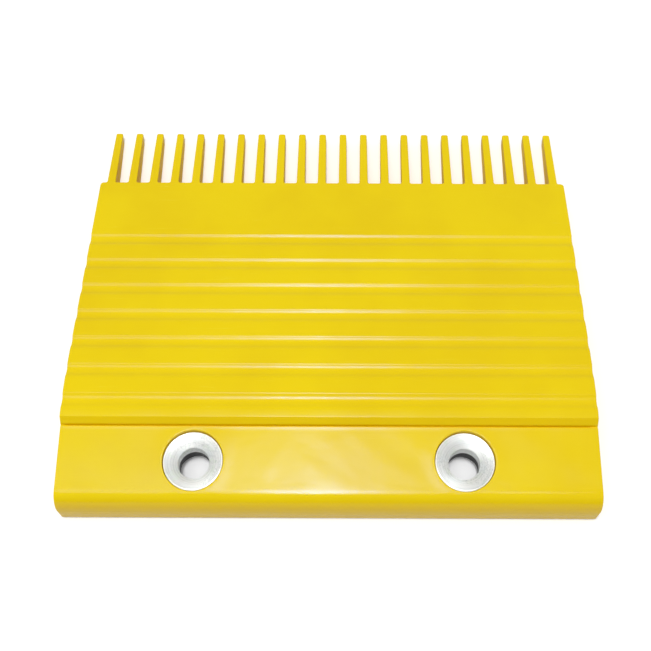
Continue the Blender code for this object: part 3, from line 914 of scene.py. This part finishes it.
def zinc_material(name, side):
    """Zinc-plated turned steel: the lathe's rings, cool clouds, a green film and pores.

    Below the painted shade height the bore is coloured black, as painted shade for the deep hole. The
    shine is drawn out across the turns.
    """
    form = PlateForm()
    b = form.b
    material, tree, shader, place = new_material(name)
    local = mapped(tree, place, (1.0, 1.0, 1.0), (-side * b.spacing / 2, -form.bush_y, 0.0))
    clouds = ranged(tree, noise(tree, place, 160.0, 4.0, 0.6), 0.4, 0.7, 0.0, 1.0)
    metal = blended(tree, clouds, b.zinc, b.zinc_tint)
    green = ranged(tree, noise(tree, place, 330.0, 3.0, 0.6), 0.5, 0.68, 0.0, 0.8)
    metal = blended(tree, green, metal, b.zinc_green)
    x, y, z = parted(tree, local)
    across = calculated(tree, "POWER", x, 2.0)
    along = calculated(tree, "POWER", y, 2.0)
    radius = calculated(tree, "SQRT", calculated(tree, "ADD", across, along), 0.0)
    # Painted shade: black in the bore below the painted shade height, standing in for the deep shade
    # in the hole.
    bore, blur = b.relief_radius + 0.2 * MM, 0.4 * MM
    inside = ranged(tree, radius, bore, bore + blur, 1.0, 0.0)
    low = ranged(tree, z, b.bore_painted_shade_height - blur / 2, b.bore_painted_shade_height + blur / 2, 1.0, 0.0)
    black = calculated(tree, "MULTIPLY", inside, low)
    turned = {"X": radius, "Z": calculated(tree, "MULTIPLY", z, 0.3)}
    rings = noise(tree, new_node(tree, "CombineXYZ", turned)["Vector"], 2200.0, 3.0, 0.75)
    grain = noise(tree, place, 1300.0, 3.0, 0.7)
    worn = ranged(tree, noise(tree, place, 90.0, 2.0), 0.45, 0.6, 0.15, 1.0)
    specks = calculated(tree, "MULTIPLY", ranged(tree, grain, 0.45, 0.65, 0.0, 0.5), worn)
    metal = blended(tree, specks, metal, b.zinc_speck)
    metal = blended(tree, ranged(tree, rings, 0.45, 0.7, 0.0, 0.4), metal, b.zinc_speck)
    blots = calculated(tree, "ADD", grain, clouds)
    lathe_way = new_node(tree, "Tangent", {}, direction_type="UV_MAP", uv_map=TURNS)["Tangent"]
    finish = {
        # The black in the lower bore is painted shade.
        "Base Color": blended(tree, black, metal, (0.012, 0.012, 0.012)),
        "Roughness": ranged(tree, blots, 0.4, 1.6, b.zinc_roughness, b.zinc_roughness + 0.12),
        "Normal": bumped(tree, grain, 0.03 * MM, bumped(tree, rings, 0.035 * MM)),
        "Metallic": b.zinc_shine,
        "Anisotropic": b.zinc_grain,
        "Anisotropic Rotation": 0.25,
        "Tangent": lathe_way,
    }
    feed(tree, shader, finish)
    return material


def floor_material():
    """A plain pale floor with a faint cloudiness.

    What the camera and shiny faces see of it is white, and what lights the plate is greyer.
    """
    st = studio_settings()
    material, tree, shader, place = new_material("pale_floor")
    deeper = [value * 0.99 for value in st.floor_colour]
    shown = blended(tree, noise(tree, place, 3.0), st.floor_colour, deeper)
    rays = tree.nodes.new("ShaderNodeLightPath")
    seen = rays.outputs["Is Camera Ray"]
    for kind in ("Is Glossy Ray", "Is Transmission Ray"):
        seen = calculated(tree, "MAXIMUM", seen, rays.outputs[kind])
    finish = {
        "Base Color": blended(tree, seen, st.floor_bounce, shown),
        "Emission Color": (1.0, 1.0, 1.0),
        "Emission Strength": calculated(tree, "MULTIPLY", seen, st.floor_glow),
        "Roughness": 0.9,
        "Specular IOR Level": 0.0,
    }
    feed(tree, shader, finish)
    return material


def make_floor():
    """A square floor just below the underside, as a level grid of x and y."""
    st = studio_settings()
    clear = 0.02 * MM
    line = np.linspace(-0.5, 0.5, 9) * st.floor_size
    x, y = np.meshgrid(line, line, indexing="ij")
    shell = Shell()
    shell.grid(np.stack([x, y, np.full(x.shape, CAD_LOW.z - clear)], axis=-1))
    floor = shell.make("floor")
    floor.data.materials.append(floor_material())


def make_light(name, x, width, power):
    """A soft light overhead, facing straight down."""
    st = studio_settings()
    lamp = bpy.data.lights.new(name, "AREA")
    lamp.shape = "ELLIPSE"
    lamp.size = width
    lamp.size_y = st.light_depth
    lamp.energy = power
    light = bpy.data.objects.new(name, lamp)
    light.location = (x, st.light_y, st.light_height)
    bpy.context.scene.collection.objects.link(light)


def make_sky():
    """A plain grey room, palest overhead, and darkest at the horizon behind the plate."""
    st = studio_settings()
    world = bpy.data.worlds.new("soft_room")
    world.use_nodes = True
    tree = world.node_tree
    direction = tree.nodes.new("ShaderNodeTexCoord").outputs["Generated"]
    _, y, z = parted(tree, direction)
    lift = calculated(tree, "ADD", z, calculated(tree, "MULTIPLY", y, 0.3))
    strength = ranged(tree, lift, -0.2, 0.6, st.sky_low, st.sky_high)
    feed(tree, tree.nodes["Background"], {"Color": (1.0, 1.0, 1.0), "Strength": strength})
    bpy.context.scene.world = world


def make_camera():
    """The camera at the photograph's place, with its lens and small sideways shift."""
    st = studio_settings()
    data = bpy.data.cameras.new("camera")
    data.lens = st.lens
    data.sensor_width = 36.0
    data.shift_x = st.shift
    data.dof.use_dof = False
    camera = bpy.data.objects.new("camera", data)
    turn = Matrix.Rotation(st.camera_turn, 4, "Z")
    tilt = Matrix.Rotation(st.camera_tilt, 4, "X")
    roll = Matrix.Rotation(st.camera_roll, 4, "Z")
    place = Matrix.Translation((st.camera_x, st.camera_y, st.camera_z))
    camera.matrix_world = place @ turn @ tilt @ roll
    bpy.context.scene.collection.objects.link(camera)
    bpy.context.scene.camera = camera


class COMB_OT_moulding(bpy.types.Operator):
    """Build the yellow moulding with its teeth, grooves, land, recesses and pockets"""

    bl_idname = "comb_plate.moulding"
    bl_label = "Moulding"

    def execute(self, context):
        piece = make_moulding()
        piece.data.materials.append(plastic_material())
        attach(piece, "root")
        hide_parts("comb_plate")
        return {"FINISHED"}


class COMB_OT_bushes(bpy.types.Operator):
    """Build the two turned steel bushes for the fixing screws"""

    bl_idname = "comb_plate.bushes"
    bl_label = "Screw Bushes"

    def execute(self, context):
        for name, side in (("left", -1), ("right", 1)):
            piece = make_bush(name + "_bush_turned", side)
            piece.data.materials.append(zinc_material(name + "_turned_zinc", side))
            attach(piece, "root")
            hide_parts(name + "_bush")
        return {"FINISHED"}


class COMB_OT_studio(bpy.types.Operator):
    """Set up the floor, the soft light, the grey room and the camera"""

    bl_idname = "comb_plate.studio"
    bl_label = "Studio"

    def execute(self, context):
        make_floor()
        st = studio_settings()
        make_light("soft_key", st.key_x, st.key_width, st.key_power)
        make_light("long_light", st.bar_x, st.bar_width, st.bar_power)
        make_sky()
        make_camera()
        context.scene.view_settings.view_transform = "Standard"
        return {"FINISHED"}


class COMB_PT_panel(bpy.types.Panel):
    """Lists the operators and the main settings"""

    bl_idname = "COMB_PT_panel"
    bl_label = "Comb Plate"
    bl_space_type = "VIEW_3D"
    bl_region_type = "UI"
    bl_category = "Comb Plate"

    def draw(self, context):
        scene = context.scene
        for settings, operator in (
            (scene.comb_moulding, COMB_OT_moulding),
            (scene.comb_bushes, COMB_OT_bushes),
            (scene.comb_studio, COMB_OT_studio),
        ):
            box = self.layout.box()
            for name in settings.__annotations__:
                box.prop(settings, name)
            box.operator(operator.bl_idname)


CLASSES = (
    MouldingSettings,
    BushSettings,
    StudioSettings,
    COMB_OT_moulding,
    COMB_OT_bushes,
    COMB_OT_studio,
    COMB_PT_panel,
)


def register():
    for entry in CLASSES:
        bpy.utils.register_class(entry)
    bpy.types.Scene.comb_moulding = PointerProperty(type=MouldingSettings)
    bpy.types.Scene.comb_bushes = PointerProperty(type=BushSettings)
    bpy.types.Scene.comb_studio = PointerProperty(type=StudioSettings)


def unregister():
    for name in ("comb_moulding", "comb_bushes", "comb_studio"):
        delattr(bpy.types.Scene, name)
    for entry in reversed(CLASSES):
        bpy.utils.unregister_class(entry)


def main():
    register()
    bpy.ops.comb_plate.moulding()
    bpy.ops.comb_plate.bushes()
    bpy.ops.comb_plate.studio()


if __name__ == "__main__":
    main()
